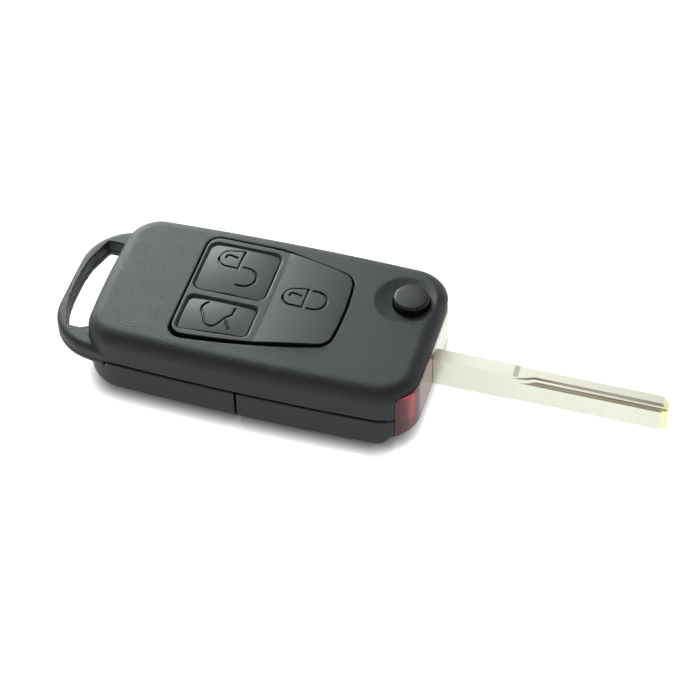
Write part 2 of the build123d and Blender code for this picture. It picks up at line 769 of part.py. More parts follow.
# Red window round the near front corner
with BuildPart() as signal_window:
    with BuildSketch(Plane.XY.offset(lip_height + window_clearance)):
        add(moved_outline(case_plan.sketch, -(wall + window_clearance)))
        add(moved_outline(case_plan.sketch, -(wall + window_clearance + window_flange)), mode=Mode.SUBTRACT)
        with Locations((window_edge_x - window_tongue_length, 0)):
            Rectangle(big, big, align=(Align.MAX, Align.CENTER), mode=Mode.SUBTRACT)
        with Locations(pivot):
            Circle(chamber_radius + chamber_wall + window_clearance, mode=Mode.SUBTRACT)
    extrude(amount=window_flange_top - lip_height - window_clearance)
    with BuildSketch(Plane.XY.offset(lip_height + window_clearance)):
        add(case_plan.sketch)
        add(moved_outline(case_plan.sketch, -window_thickness), mode=Mode.SUBTRACT)
        with Locations((window_edge_x + window_clearance / 2, 0)):
            Rectangle(big, big, align=(Align.MAX, Align.CENTER), mode=Mode.SUBTRACT)
    extrude(amount=front_edge_height - lip_height - 2 * window_clearance)
    add(case_envelope.part, mode=Mode.INTERSECT)
    with BuildSketch(Plane.XY.offset(parting_height - seam_width / 2 + window_clearance)):
        add(moved_outline(case_plan.sketch, -window_line_inset))
        add(moved_outline(case_plan.sketch, -(seam_depth - window_line_lap)), mode=Mode.SUBTRACT)
        with Locations((window_edge_x - window_tongue_length, 0)):
            Rectangle(big, big, align=(Align.MAX, Align.CENTER), mode=Mode.SUBTRACT)
    extrude(amount=seam_width - 2 * window_clearance)
    with BuildSketch(Plane.XY):
        with Locations((0, near_face_y - hub_running_gap)):
            Rectangle(big, big, align=(Align.CENTER, Align.MIN))
        with Locations(pivot):
            Circle(chamber_radius)
    extrude(amount=case_height, mode=Mode.SUBTRACT)
signal_window.part.label = "signal_window"
export_step(signal_window.part, "parts/signal_window.step")

# Hub that carries the blade and turns half a turn
with BuildSketch() as hub_plan:
    with Locations(pivot):
        Rectangle(hub_front_x - hub_rear_x, hub_far_y - near_face_y)
    near_rear = hub_plan.vertices().sort_by(lambda v: v.X + v.Y)[0]
    far_front = hub_plan.vertices().sort_by(lambda v: v.X + v.Y)[-1]
    fillet([near_rear, far_front], hub_corner_radius)

with BuildPart() as flip_hub:
    with BuildSketch(Plane.XY.offset(hub_bottom)):
        add(hub_plan.sketch)
    extrude(amount=hub_top - hub_bottom)
    chamfer(flip_hub.faces().sort_by(Axis.Z)[-1].edges(), hub_edge_chamfer)
    chamfer(flip_hub.faces().sort_by(Axis.Z)[0].edges(), hub_edge_chamfer)
    with BuildSketch(Plane.XY.offset(hub_bottom + hub_floor)):
        with Locations(pivot):
            Circle(hub_spring_bore_radius)
            Rectangle(
                lug_width + 2 * lug_clearance,
                2 * (lug_end + lug_clearance),
            )
    extrude(amount=case_height, mode=Mode.SUBTRACT)
    with BuildSketch(Plane.XY.offset(hub_bottom)):
        with Locations(pivot):
            Circle(pivot_pin_radius + pivot_pin_clearance)
    extrude(amount=hub_floor, mode=Mode.SUBTRACT)
    with BuildSketch(Plane.YZ.offset(hub_front_x - tang_length)):
        with Locations((blade_y, blade_bottom + blade_height / 2)):
            Rectangle(tang_thickness + 2 * tang_clearance, tang_height + 2 * tang_clearance)
    extrude(amount=case_length, mode=Mode.SUBTRACT)
    with BuildSketch(Plane.XZ.offset(-near_face_y)):
        with Locations((roll_pin_x, blade_bottom + blade_height / 2)):
            Circle(roll_pin_radius)
    extrude(amount=-(blade_thickness + roll_pin_cover + roll_pin_end_gap), mode=Mode.SUBTRACT)
flip_hub.part.label = "flip_hub"
export_step(flip_hub.part, "parts/flip_hub.step")

# Blade with its tang
blade_front_x = hub_front_x + hub_recess
blade_mid_z = blade_bottom + blade_height / 2
narrow_top = blade_bottom + blade_height - shoulder_step
blade_middle = Plane((0, blade_y, blade_mid_z))


def track_cutter(start_x, depth, low, high):
    """Milled track on the near face with the run-out of a round cutter at its start."""
    runout = sqrt(2 * track_cutter_radius * depth - depth ** 2)
    end_x = blade_end_x + lap
    floor_y = near_face_y + depth
    with BuildPart() as cutter:
        with BuildSketch(Plane.XY.offset(low)):
            with BuildLine():
                Line((start_x, near_face_y), (end_x, near_face_y))
                Line((end_x, near_face_y), (end_x, floor_y))
                Line((end_x, floor_y), (start_x + runout, floor_y))
                RadiusArc((start_x + runout, floor_y), (start_x, near_face_y), track_cutter_radius)
            make_face()
        extrude(amount=high - low)
    return cutter.part


near_tracks = [
    track_cutter(lower_track_start_x, lower_track_depth, track_bottom, track_rib_bottom),
    track_cutter(lower_track_start_x, track_rib_recess, track_rib_bottom, track_rib_top),
    track_cutter(upper_track_start_x, upper_track_depth, track_rib_top, blade_bottom + blade_height + lap),
]
with BuildPart() as blade:
    with BuildSketch(Plane.XZ.offset(-near_face_y)):
        with BuildLine():
            Polyline(
                (blade_front_x, blade_bottom),
                (blade_shoulder_x, blade_bottom),
                (blade_shoulder_x + shoulder_length, blade_bottom + shoulder_step),
                (blade_end_x, blade_bottom + shoulder_step),
                (blade_end_x, narrow_top - tip_top_chamfer),
                (blade_end_x - tip_top_chamfer, narrow_top),
                (blade_shoulder_x + shoulder_length, narrow_top),
                (blade_shoulder_x, blade_bottom + blade_height),
                (blade_front_x, blade_bottom + blade_height),
                close=True,
            )
        make_face()
    extrude(amount=-blade_thickness)
    chamfer(
        blade.faces().sort_by(Axis.X)[-1].edges().filter_by(Axis.Z),
        length=tip_bevel_depth,
        length2=tip_bevel_length,
    )
    for track in near_tracks:
        add(track, mode=Mode.SUBTRACT)
        add(track.rotate(Axis(blade_middle.origin, (1, 0, 0)), 180), mode=Mode.SUBTRACT)
    with BuildSketch(Plane.YZ.offset(hub_front_x - tang_length + tang_clearance)):
        with Locations((blade_y, blade_mid_z)):
            Rectangle(tang_thickness, tang_height)
    extrude(amount=tang_length + hub_recess)
    with BuildSketch(Plane.XZ.offset(-near_face_y)):
        with Locations((roll_pin_x, blade_mid_z)):
            Circle(roll_pin_radius)
    extrude(amount=-blade_thickness, mode=Mode.SUBTRACT)
blade.part.label = "blade"
export_step(blade.part, "parts/blade.step")

# Roll pin through hub and tang
with BuildPart() as blade_pin:
    with BuildSketch(Plane.XZ.offset(-near_face_y - roll_pin_sink)):
        with Locations((roll_pin_x, blade_mid_z)):
            Circle(roll_pin_radius)
            Circle(roll_pin_radius / 2, mode=Mode.SUBTRACT)
            slit_length = 2 * roll_pin_radius
            Rectangle(roll_pin_slit, slit_length, align=(Align.CENTER, Align.MIN), mode=Mode.SUBTRACT)
    extrude(amount=-(blade_thickness + roll_pin_cover))
blade_pin.part.label = "blade_pin"
export_step(blade_pin.part, "parts/blade_pin.step")

# Release button
with BuildPart() as release_button:
    with BuildSketch(Plane.XY.offset(button_flange_bottom)):
        with Locations(pivot):
            Circle(button_radius)
    extrude(amount=button_top - button_flange_bottom)
    fillet(release_button.faces().sort_by(Axis.Z)[-1].edges(), button_edge_rounding)
    with BuildSketch(Plane.XY.offset(button_flange_bottom)):
        with Locations(pivot):
            Circle(button_flange_radius)
            Rectangle(lug_width, 2 * lug_end)
    extrude(amount=button_flange_thickness)
    with BuildSketch(Plane.XY.offset(button_flange_bottom)):
        with Locations(pivot):
            Circle(button_hollow_radius)
    extrude(amount=button_top - button_cap_thickness - button_flange_bottom, mode=Mode.SUBTRACT)
release_button.part.label = "release_button"
export_step(release_button.part, "parts/release_button.step")

# Spring that turns the hub and lifts the button
spring_bottom = hub_bottom + hub_floor + spring_wire_radius
spring_top = button_top - button_cap_thickness - spring_wire_radius
with BuildPart() as flip_spring:
    with BuildLine(Plane((pivot_x, pivot_y, spring_bottom))) as spring_line:
        Helix((spring_top - spring_bottom) / spring_turns, spring_top - spring_bottom, spring_radius)
    with BuildSketch(Plane(origin=spring_line.line @ 0, z_dir=spring_line.line % 0)):
        Circle(spring_wire_radius)
    sweep(is_frenet=True)
flip_spring.part.label = "flip_spring"
export_step(flip_spring.part, "parts/flip_spring.step")

# Steel pin that the hub turns on
with BuildPart() as pivot_pin:
    with BuildSketch(Plane.XY.offset(pivot_pin_seat)):
        with Locations(pivot):
            Circle(pivot_pin_radius)
    extrude(amount=hub_bottom + hub_floor + pivot_pin_reach - pivot_pin_seat)
    chamfer(pivot_pin.faces().sort_by(Axis.Z)[-1].edges(), pivot_pin_chamfer)
pivot_pin.part.label = "pivot_pin"
export_step(pivot_pin.part, "parts/pivot_pin.step")

# Keypad pieces
with BuildSketch() as unlock_plan:
    with Locations(((unlock_left_x + unlock_right_x) / 2, (unlock_near_y + unlock_far_y) / 2)):
        Rectangle(unlock_right_x - unlock_left_x, unlock_far_y - unlock_near_y)
    fillet(unlock_plan.vertices(), unlock_corner_radius)

with BuildSketch() as trunk_plan:
    with BuildLine():
        Polyline(
            (trunk_left_x, trunk_near_left_y),
            (trunk_right_x, trunk_near_right_y),
            (trunk_right_x, trunk_far_y),
            (trunk_left_x, trunk_far_y),
            close=True,
        )
    make_face()
    fillet(trunk_plan.vertices(), trunk_corner_radius)

with BuildSketch() as lock_plan:
    add(pad_plan)
    with Locations((lock_left_x, 0)):
        Rectangle(big, big, align=(Align.MAX, Align.CENTER), mode=Mode.SUBTRACT)

with BuildSketch() as lock_opening:
    add(moved_outline(pad_plan, key_gap))
    with Locations((lock_left_x - key_gap, 0)):
        Rectangle(big, big, align=(Align.MAX, Align.CENTER), mode=Mode.SUBTRACT)

with BuildSketch() as lock_flange_plan:
    add(moved_outline(pad_plan, key_flange))
    with Locations((lock_left_x - key_flange, 0)):
        Rectangle(big, big, align=(Align.MAX, Align.CENTER), mode=Mode.SUBTRACT)

with BuildPart() as keypad_frame:
    with BuildSketch(Plane.XY.offset(frame_bottom)):
        add(pad_plan)
    extrude(amount=pad_top - frame_bottom)
    with BuildSketch(Plane.XY.offset(frame_bottom)):
        add(moved_outline(opening_plan, pad_flange))
    extrude(amount=pad_flange_thickness)
    for opening in (unlock_plan, trunk_plan, lock_opening):
        with BuildSketch(Plane.XY.offset(frame_bottom)):
            add(opening.sketch)
        extrude(amount=case_height, mode=Mode.SUBTRACT)
    ridge = keypad_frame.faces().filter_by(Axis.Z).group_by(Axis.Z)[-1].sort_by(Axis.X)[0]
    chamfer(ridge.inner_wires().edges(), ridge_slope)
keypad_frame.part.label = "keypad_frame"
export_step(keypad_frame.part, "parts/keypad_frame.step")

dish_low = pad_top - 2 * panel_recess
symbol_floor = dish_low - icon_depth


unlock_middle = ((unlock_left_x + unlock_right_x) / 2, (unlock_near_y + unlock_far_y) / 2)
trunk_middle = ((trunk_left_x + trunk_right_x) / 2, (trunk_near_left_y + trunk_far_y) / 2)
lock_middle = (lock_dish_x, lock_dish_y)


def placed(points, origin):
    """The points of a symbol moved to its origin."""
    return [(origin[0] + x, origin[1] + y) for x, y in points]


def padlock(middle, shift, shackle_y):
    """Padlock lying on its side to engrave: body to the left, shackle to the right."""
    origin = (middle[0] + shift[0], middle[1] + shift[1])
    bar = placed(lock_icon_bar, origin)
    body = placed(lock_icon_body, origin)
    top = placed(lock_icon_top, origin)
    leg_x = shackle_gap + shackle_leg
    tip = (leg_x + shackle_width / 2, shackle_y - shackle_width / 2)
    shackle_points = [(shackle_gap, shackle_y), (leg_x, shackle_y), tip]
    shackle_points += [(leg_x, shackle_y - shackle_width), (shackle_gap, shackle_y - shackle_width)]
    shackle = placed(shackle_points, origin)
    with BuildPart() as symbol:
        with BuildSketch(Plane.XY.offset(symbol_floor)):
            with BuildLine():
                ThreePointArc(*body[:3])
                Line(body[2], body[3])
                Line(*bar)
            trace(line_width=icon_stroke)
        with BuildSketch(Plane.XY.offset(symbol_floor)):
            with BuildLine():
                ThreePointArc(*top[:3])
                Line(top[2], top[3])
            trace(line_width=icon_fine_stroke)
        with BuildSketch(Plane.XY.offset(symbol_floor)):
            with BuildLine():
                Spline(*placed(lock_icon_keyhole, origin))
            trace(line_width=icon_stroke)
        with BuildSketch(Plane.XY.offset(symbol_floor)):
            with BuildLine():
                Line(shackle[0], shackle[1])
                ThreePointArc(shackle[1], shackle[2], shackle[3])
                Line(shackle[3], shackle[4])
            trace(line_width=icon_stroke)
        extrude(amount=case_height)
    return symbol.part


# Car seen from the side with its rear lid up
with BuildPart() as car_symbol:
    with BuildSketch(Plane.XY.offset(symbol_floor)):
        with BuildLine():
            Spline(*placed(car_icon_body, trunk_middle))
        trace(line_width=icon_stroke)
    with BuildSketch(Plane.XY.offset(symbol_floor)):
        with BuildLine():
            Polyline(*placed(car_icon_lid, trunk_middle))
        trace(line_width=icon_stroke)
    extrude(amount=case_height)

with BuildPart() as key_unlock:
    with BuildSketch(Plane.XY.offset(key_bottom)):
        offset(unlock_plan.sketch, amount=-key_gap)
    extrude(amount=pad_top - panel_recess - key_bottom)
    with BuildSketch(Plane.XY.offset(key_bottom)):
        offset(unlock_plan.sketch, amount=key_flange)
    extrude(amount=key_flange_thickness)
    with Locations((*unlock_middle, dish_low + panel_dish_radius)):
        Sphere(panel_dish_radius, mode=Mode.SUBTRACT)
    add(padlock(unlock_middle, unlock_icon_shift, shackle_open_y), mode=Mode.SUBTRACT)
key_unlock.part.label = "key_unlock"
export_step(key_unlock.part, "parts/key_unlock.step")

with BuildPart() as key_trunk:
    with BuildSketch(Plane.XY.offset(key_bottom)):
        offset(trunk_plan.sketch, amount=-key_gap)
    extrude(amount=pad_top - panel_recess - key_bottom)
    with BuildSketch(Plane.XY.offset(key_bottom)):
        offset(trunk_plan.sketch, amount=key_flange)
    extrude(amount=key_flange_thickness)
    with Locations((*trunk_middle, dish_low + panel_dish_radius)):
        Sphere(panel_dish_radius, mode=Mode.SUBTRACT)
    add(car_symbol.part, mode=Mode.SUBTRACT)
key_trunk.part.label = "key_trunk"
export_step(key_trunk.part, "parts/key_trunk.step")

with BuildPart() as key_lock:
    with BuildSketch(Plane.XY.offset(key_bottom)):
        add(lock_plan.sketch)
    extrude(amount=pad_top - key_bottom)
    with BuildSketch(Plane.XY.offset(key_bottom)):
        add(lock_flange_plan.sketch)
    extrude(amount=key_flange_thickness)
    with Locations((*lock_middle, dish_low + lock_dish_radius)):
        Sphere(lock_dish_radius, mode=Mode.SUBTRACT)
    add(padlock(lock_middle, lock_icon_shift, shackle_shut_y), mode=Mode.SUBTRACT)
key_lock.part.label = "key_lock"
export_step(key_lock.part, "parts/key_lock.step")

# Sealing mat with one dome under each key
dome_places = [unlock_middle, trunk_middle, lock_middle]
with BuildPart() as keypad_membrane:
    with BuildSketch(Plane.XY.offset(mat_bottom)):
        with BuildLine():
            Polyline(
                (mat_left_x, mat_near_y),
                (mat_right_x, mat_near_y),
                (mat_right_x, mat_far_y),
                (mat_left_x, mat_far_y),
                close=True,
            )
        make_face()
        with Locations(*stake_places):
            Circle(stake_radius + stake_clearance, mode=Mode.SUBTRACT)
    extrude(amount=mat_thickness)
    with BuildSketch(Plane.XY.offset(mat_bottom)):
        with Locations(*dome_places):
            Circle(mat_dome_radius)
    extrude(amount=key_bottom - mat_dome_gap - mat_bottom)
keypad_membrane.part.label = "keypad_membrane"
export_step(keypad_membrane.part, "parts/keypad_membrane.step")

# Screws that hold the two halves together, under the battery cover
for number, (x, y) in enumerate(screw_places, start=1):
    with BuildPart() as case_screw:
        with BuildSketch(Plane.XY.offset(ceiling_bottom)):
            with Locations((x, y)):
                Circle(screw_head_radius)
        extrude(amount=screw_head_height)
        with BuildSketch(Plane.XY.offset(ceiling_bottom)):
            with Locations((x, y)):
                Circle(screw_shaft_radius)
        extrude(amount=screw_head_height + screw_length)
        with BuildSketch(Plane.XY.offset(ceiling_bottom)):
            with Locations((x, y)):
                Rectangle(screw_recess_length, screw_recess_width)
                Rectangle(screw_recess_width, screw_recess_length)
        extrude(amount=screw_recess_depth, mode=Mode.SUBTRACT)
    case_screw.part.label = f"case_screw_{number}"
    export_step(case_screw.part, f"parts/case_screw_{number}.step")

# Washer between the hub and the floor
with BuildPart() as thrust_washer:
    with BuildSketch(Plane.XY.offset(washer_bottom)):
        with Locations(pivot):
            Circle(washer_outer)
            Circle(washer_inner, mode=Mode.SUBTRACT)
    extrude(amount=washer_thickness)
thrust_washer.part.label = "thrust_washer"
export_step(thrust_washer.part, "parts/thrust_washer.step")

# Spring contacts for the battery, riveted through the plate above it
strip_z = ceiling_bottom - contact_thickness / 2
cell_edge_x = cell_x - cell_radius
with BuildPart() as contact_plus:
    with BuildSketch(Plane.XZ.offset(-cell_y)):
        with BuildLine():
            Polyline((plus_rivet_x - contact_tail, strip_z), *placed(plus_leaf, (cell_edge_x, strip_z)))
        trace(line_width=contact_thickness)
    extrude(amount=contact_width / 2, both=True)
    with BuildSketch(Plane.XY.offset(strip_z - contact_thickness / 2 - rivet_head_height)):
        with Locations((plus_rivet_x, cell_y)):
            Circle(2 * rivet_radius)
    extrude(amount=rivet_head_height)
    with BuildSketch(Plane.XY.offset(strip_z)):
        with Locations((plus_rivet_x, cell_y)):
            Circle(rivet_radius)
    extrude(amount=parting_height + rivet_head_height - strip_z)
contact_plus.part.label = "contact_plus"
export_step(contact_plus.part, "parts/contact_plus.step")

with BuildPart() as contact_minus:
    with BuildSketch(Plane.XZ.offset(-cell_y)):
        with BuildLine():
            Polyline((minus_rivet_x + contact_tail, strip_z), *placed(minus_leaf, (cell_x, strip_z)))
        trace(line_width=contact_thickness)
    extrude(amount=contact_width / 2, both=True)
    with BuildSketch(Plane.XY.offset(strip_z - contact_thickness / 2 - rivet_head_height)):
        with Locations((minus_rivet_x, cell_y)):
            Circle(2 * rivet_radius)
    extrude(amount=rivet_head_height)
    with BuildSketch(Plane.XY.offset(strip_z)):
        with Locations((minus_rivet_x, cell_y)):
            Circle(rivet_radius)
    extrude(amount=parting_height + rivet_head_height - strip_z)
contact_minus.part.label = "contact_minus"
export_step(contact_minus.part, "parts/contact_minus.step")
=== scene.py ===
# %% [markdown]
# # Flip key remote shell: looks
# The solids come from the CAD model and stay where they are. This lesson gives them the
# finishes of the real shell: grained plastic, soft rubber keys, a clear red window and
# bare metal for the blade. All lengths are in metres, in the CAD model's own frame.

# %% Load the frame
from math import cos, radians, sin

import bpy
from mathutils import Matrix, Vector


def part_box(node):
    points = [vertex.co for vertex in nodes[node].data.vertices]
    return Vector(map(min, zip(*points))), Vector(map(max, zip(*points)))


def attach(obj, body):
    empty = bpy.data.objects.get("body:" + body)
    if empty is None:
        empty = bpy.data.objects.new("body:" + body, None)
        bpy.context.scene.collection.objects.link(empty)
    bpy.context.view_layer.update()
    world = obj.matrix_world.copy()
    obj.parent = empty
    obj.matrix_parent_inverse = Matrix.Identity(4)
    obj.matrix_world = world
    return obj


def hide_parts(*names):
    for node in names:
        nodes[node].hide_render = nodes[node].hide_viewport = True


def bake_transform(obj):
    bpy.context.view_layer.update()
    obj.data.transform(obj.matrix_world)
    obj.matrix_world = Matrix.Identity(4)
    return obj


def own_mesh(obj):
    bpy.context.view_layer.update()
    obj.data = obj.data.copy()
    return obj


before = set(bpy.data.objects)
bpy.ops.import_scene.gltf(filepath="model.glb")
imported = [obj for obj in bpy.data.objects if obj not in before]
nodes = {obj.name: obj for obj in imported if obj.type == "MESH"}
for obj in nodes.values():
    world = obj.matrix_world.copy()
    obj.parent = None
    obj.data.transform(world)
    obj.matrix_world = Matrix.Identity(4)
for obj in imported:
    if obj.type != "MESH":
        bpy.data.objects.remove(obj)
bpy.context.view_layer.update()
MM = 0.001

# %% [markdown]
# A colour read off a photograph is an sRGB byte value, while a shader works in linear light.
# One small helper turns the first into the second, so the colours below can be written as seen.


# %% Colours as they are seen
def seen(red, green, blue):
    """Linear colour for the three byte values that a screen would show."""
    linear = []
    for value in (red, green, blue):
        share = value / 255
        linear.append(share / 12.92 if share <= 0.04045 else ((share + 0.055) / 1.055) ** 2.4)
    return (*linear, 1.0)


print("mid grey in linear light:", round(seen(128, 128, 128)[0], 3))

# %% [markdown]
# A shader is a graph of nodes, and most nodes only need a few inputs: a number, a colour or
# what another node puts out. The helpers below take all three alike, so that each graph further
# down reads as a list of what it does.


# %% Helpers for shader graphs
def feed(tree, node, inputs):
    """Gives a node's inputs numbers, colours or other nodes' outputs."""
    for label, value in inputs.items():
        if isinstance(value, bpy.types.NodeSocket):
            tree.links.new(value, node.inputs[label])
        else:
            node.inputs[label].default_value = value
    return node


def add_node(tree, kind, inputs):
    """New node with its inputs fed."""
    return feed(tree, tree.nodes.new(kind), inputs)


def maths(tree, operation, *values, clamp=False):
    """Result of a Math node."""
    node = tree.nodes.new("ShaderNodeMath")
    node.operation = operation
    node.use_clamp = clamp
    return feed(tree, node, dict(enumerate(values))).outputs["Value"]


def mixed(tree, kind, share, first, second):
    """Number or colour between two others, by share."""
    node = tree.nodes.new("ShaderNodeMix")
    node.data_type = kind
    return feed(tree, node, {"Factor": share, "A": first, "B": second}).outputs["Result"]


def stretched(tree, place, factors):
    """Place multiplied by its own factor each way."""
    node = tree.nodes.new("ShaderNodeVectorMath")
    node.operation = "MULTIPLY"
    return feed(tree, node, {0: place, 1: factors}).outputs["Vector"]


def colour_ramp(tree, value, low, low_colour, high, high_colour):
    """Colour that runs from one to another while the value goes from low to high."""
    ramp = add_node(tree, "ShaderNodeValToRGB", {"Fac": value})
    first, second = ramp.color_ramp.elements
    first.position, first.color = low, low_colour
    second.position, second.color = high, high_colour
    return ramp.outputs["Color"]


print("graph helpers ready")

# %% [markdown]
# Spark-eroded moulds leave a fine, even grain on plastic. It could be displaced geometry, but
# a grain of a tenth of a millimetre is far cheaper as a bump. The group below gives a height
# for the bump and a tone that makes the colour uneven by a few percent, so that every
# moulded piece can use it with its own grain size.


# %% Moulded grain, shared by plastic and rubber
def new_group(name, inputs, outputs):
    """Empty shader node group with float or vector inputs and float outputs."""
    group = bpy.data.node_groups.new(name, "ShaderNodeTree")
    for label, value in inputs.items():
        kind = "NodeSocketVector" if isinstance(value, tuple) else "NodeSocketFloat"
        socket = group.interface.new_socket(name=label, in_out="INPUT", socket_type=kind)
        socket.default_value = value
    for label in outputs:
        group.interface.new_socket(name=label, in_out="OUTPUT", socket_type="NodeSocketFloat")
    start = group.nodes.new("NodeGroupInput")
    end = group.nodes.new("NodeGroupOutput")
    return group, start.outputs, end


def moulded_grain_group():
    """Fine grain as a height, and the same with wide clouds as a tone."""
    group, given, end = new_group(
        "moulded_grain",
        inputs={"Place": (0.0, 0.0, 0.0), "Grain": 4200.0, "Cloud": 160.0},
        outputs=["Height", "Tone"],
    )
    fine = add_node(group, "ShaderNodeTexNoise", {
        "Vector": given["Place"], "Scale": given["Grain"], "Detail": 2.0, "Roughness": 0.6,
    }).outputs["Fac"]
    cloud = add_node(group, "ShaderNodeTexNoise", {
        "Vector": given["Place"], "Scale": given["Cloud"], "Detail": 3.0,
    }).outputs["Fac"]
    cloud_share = 0.45
    feed(group, end, {"Height": fine, "Tone": mixed(group, "FLOAT", cloud_share, fine, cloud)})
    return group


moulded_grain = moulded_grain_group()
print("group:", moulded_grain.name, "nodes:", len(moulded_grain.nodes))

# %% [markdown]
# Metal keeps the marks of the tool that cut it. A milling cutter leaves narrow lines across
# its path. Noise that is stretched much longer one way than the other looks like such lines,
# and the stretch is one vector input, so blade, hub, pins and contacts can share the group.


# %% Tool marks, shared by the metal pieces
def tool_marks_group():
    """Cutter lines as a height, and the same with wide stains as a tone."""
    group, given, end = new_group(
        "tool_marks",
        inputs={"Place": (0.0, 0.0, 0.0), "Stretch": (1.0, 1.0, 1.0), "Fineness": 900.0},
        outputs=["Height", "Tone"],
    )
    lines = add_node(group, "ShaderNodeTexNoise", {
        "Vector": stretched(group, given["Place"], given["Stretch"]),
        "Scale": given["Fineness"], "Detail": 3.0, "Roughness": 0.65,
    }).outputs["Fac"]
    stain = add_node(group, "ShaderNodeTexNoise", {
        "Vector": given["Place"], "Scale": 120.0,
    }).outputs["Fac"]
    stain_share = 0.4
    feed(group, end, {"Height": lines, "Tone": mixed(group, "FLOAT", stain_share, lines, stain)})
    return group


tool_marks = tool_marks_group()
print("group:", tool_marks.name, "nodes:", len(tool_marks.nodes))

# %% [markdown]
# Each finish is one Principled shader. The surface pattern comes from a group, goes through a
# narrow colour ramp into Base Color, and through a Bump node into Normal. The helper below
# wires that up once, and each material then only states its own colours and sizes.


# %% A finish from a pattern group
def finish(name, group, settings, dark, light, roughness, bump_mm,
           rough_spread=0.0, metallic=0.0, specular=0.5):
    """Material whose colour, bump and roughness follow a pattern group."""
    material = bpy.data.materials.new(name)
    material.use_nodes = True
    tree = material.node_tree
    place = tree.nodes.new("ShaderNodeTexCoord")
    pattern = tree.nodes.new("ShaderNodeGroup")
    pattern.node_tree = group
    feed(tree, pattern, {"Place": place.outputs["Object"], **settings})
    tone = pattern.outputs["Tone"]
    bump = add_node(tree, "ShaderNodeBump", {
        "Distance": bump_mm * MM, "Height": pattern.outputs["Height"],
    })
    shader = feed(tree, tree.nodes["Principled BSDF"], {
        "Base Color": colour_ramp(tree, tone, 0.3, dark, 0.7, light),
        "Normal": bump.outputs["Normal"],
        "Metallic": metallic,
        "Roughness": roughness,
        "Specular IOR Level": specular,
    })
    if rough_spread:
        spread = add_node(tree, "ShaderNodeMapRange", {
            "Value": tone, "To Min": roughness - rough_spread, "To Max": roughness + rough_spread,
        })
        feed(tree, shader, {"Roughness": spread.outputs["Result"]})
    return material


def wear(node, material):
    """Gives a CAD node its finish."""
    slots = nodes[node].data.materials
    slots.clear()
    slots.append(material)


print("finish helper ready")

# %% [markdown]
# The case halves and the battery cover are black plastic with a fine satin grain. Its own
# colour is nearly black. It looks dark grey because the grain spreads the light of the lamps
# over the whole top, so the grain's size and roughness matter more here than the colour.

# %% Case plastic
case_plastic = finish(
    "case_plastic", moulded_grain, {"Grain": 5600.0, "Cloud": 140.0},
    dark=seen(9, 13, 14), light=seen(26, 32, 33),
    roughness=0.46, bump_mm=0.115, rough_spread=0.16,
)
print("case plastic:", case_plastic.name)

# %% [markdown]
# No moulding has sharp edges: each leaves its mould with every corner slightly round, and the
# light catches those corners. A bevel would need clean edge loops, which a triangulated CAD
# mesh doesn't have. A fine voxel remesh and a little smoothing rounds every edge alike, and
# decimation then takes out the small faces that flat areas don't need.


# %% Soft copies
def triangles(mesh):
    """Number of triangles that a mesh comes to."""
    return sum(len(polygon.vertices) - 2 for polygon in mesh.polygons)


def baked(piece):
    """Mesh of a piece with its modifiers applied, which then go."""
    graph = bpy.context.evaluated_depsgraph_get()
    mesh = bpy.data.meshes.new_from_object(piece.evaluated_get(graph))
    piece.modifiers.clear()
    return mesh


def soft_copy(node, body, material, voxel_mm, rounds, most, reshape=None):
    """Stands in for a CAD node with the same form and softly rounded edges."""
    piece = bpy.data.objects.new("soft_" + node, nodes[node].data.copy())
    bpy.context.scene.collection.objects.link(piece)
    grid = piece.modifiers.new("grid", "REMESH")
    grid.mode = "VOXEL"
    grid.voxel_size = voxel_mm * MM
    smooth = piece.modifiers.new("smooth", "SMOOTH")
    smooth.factor = 0.5
    smooth.iterations = rounds
    piece.data = baked(piece)
    count = triangles(piece.data)
    if count > most:
        thin = piece.modifiers.new("thin", "DECIMATE")
        thin.ratio = most / count
        piece.data = baked(piece)
    if reshape:
        for vertex in piece.data.vertices:
            vertex.co = reshape(*vertex.co)
    piece.data.shade_smooth()
    piece.data.materials.clear()
    piece.data.materials.append(material)
    if body:
        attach(piece, body)
    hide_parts(node)
    print(piece.name, "triangles:", count, "to", triangles(piece.data))
    return piece


soft_copy("upper_case", "case", case_plastic, voxel_mm=0.18, rounds=3, most=190000)
soft_copy("lower_case", "case", case_plastic, voxel_mm=0.2, rounds=3, most=130000)
soft_copy("battery_cover", "cover", case_plastic, voxel_mm=0.2, rounds=3, most=90000)

# %% [markdown]
# The keys are silicone rubber, a little greener than the case and smoother. Rubber often lets
# light in below its surface, but black pigment stops it at once. So a plain shader does, and
# a low roughness makes the keys' shallow forms show as soft highlights.

# %% Key rubber
key_rubber = finish(
    "key_rubber", moulded_grain, {"Grain": 2600.0, "Cloud": 210.0},
    dark=seen(14, 21, 18), light=seen(24, 32, 28),
    roughness=0.3, bump_mm=0.012, rough_spread=0.05, specular=0.42,
)
print("key rubber:", key_rubber.name)

# %% [markdown]
# The two small keys are low cushions. The large one is crowned from left to right and hollow
# from near to far. Such forms could be sculpted, but a formula for the height at each place
# keeps them smooth, and its numbers can be compared with the highlights in the photograph.


# %% Forms of the keys
def clamped(value):
    """Value kept between 0 and 1."""
    return min(max(value, 0.0), 1.0)


def cushion(half, drop, rise):
    """Height over the flat: a rise at the middle and a drop at the corners."""

    def form(across, along):
        outward = ((across / half[0]) ** 2 + (along / half[1]) ** 2) / 2
        return rise - (rise + drop) * outward

    return form


def saddle(left, ridge, span, reach, run_in, base, crown, trough):
    """Height of the large key: crowned across, hollow along, level at its left edge."""

    def form(across, along):
        crowned = crown * (1 - ((across - ridge) / span) ** 2)
        hollow = trough * (along / reach) ** 2
        rise = clamped((left + across) / run_in)
        rise = rise * rise * (3 - 2 * rise)
        return rise * (crowned + hollow - base)

    return form


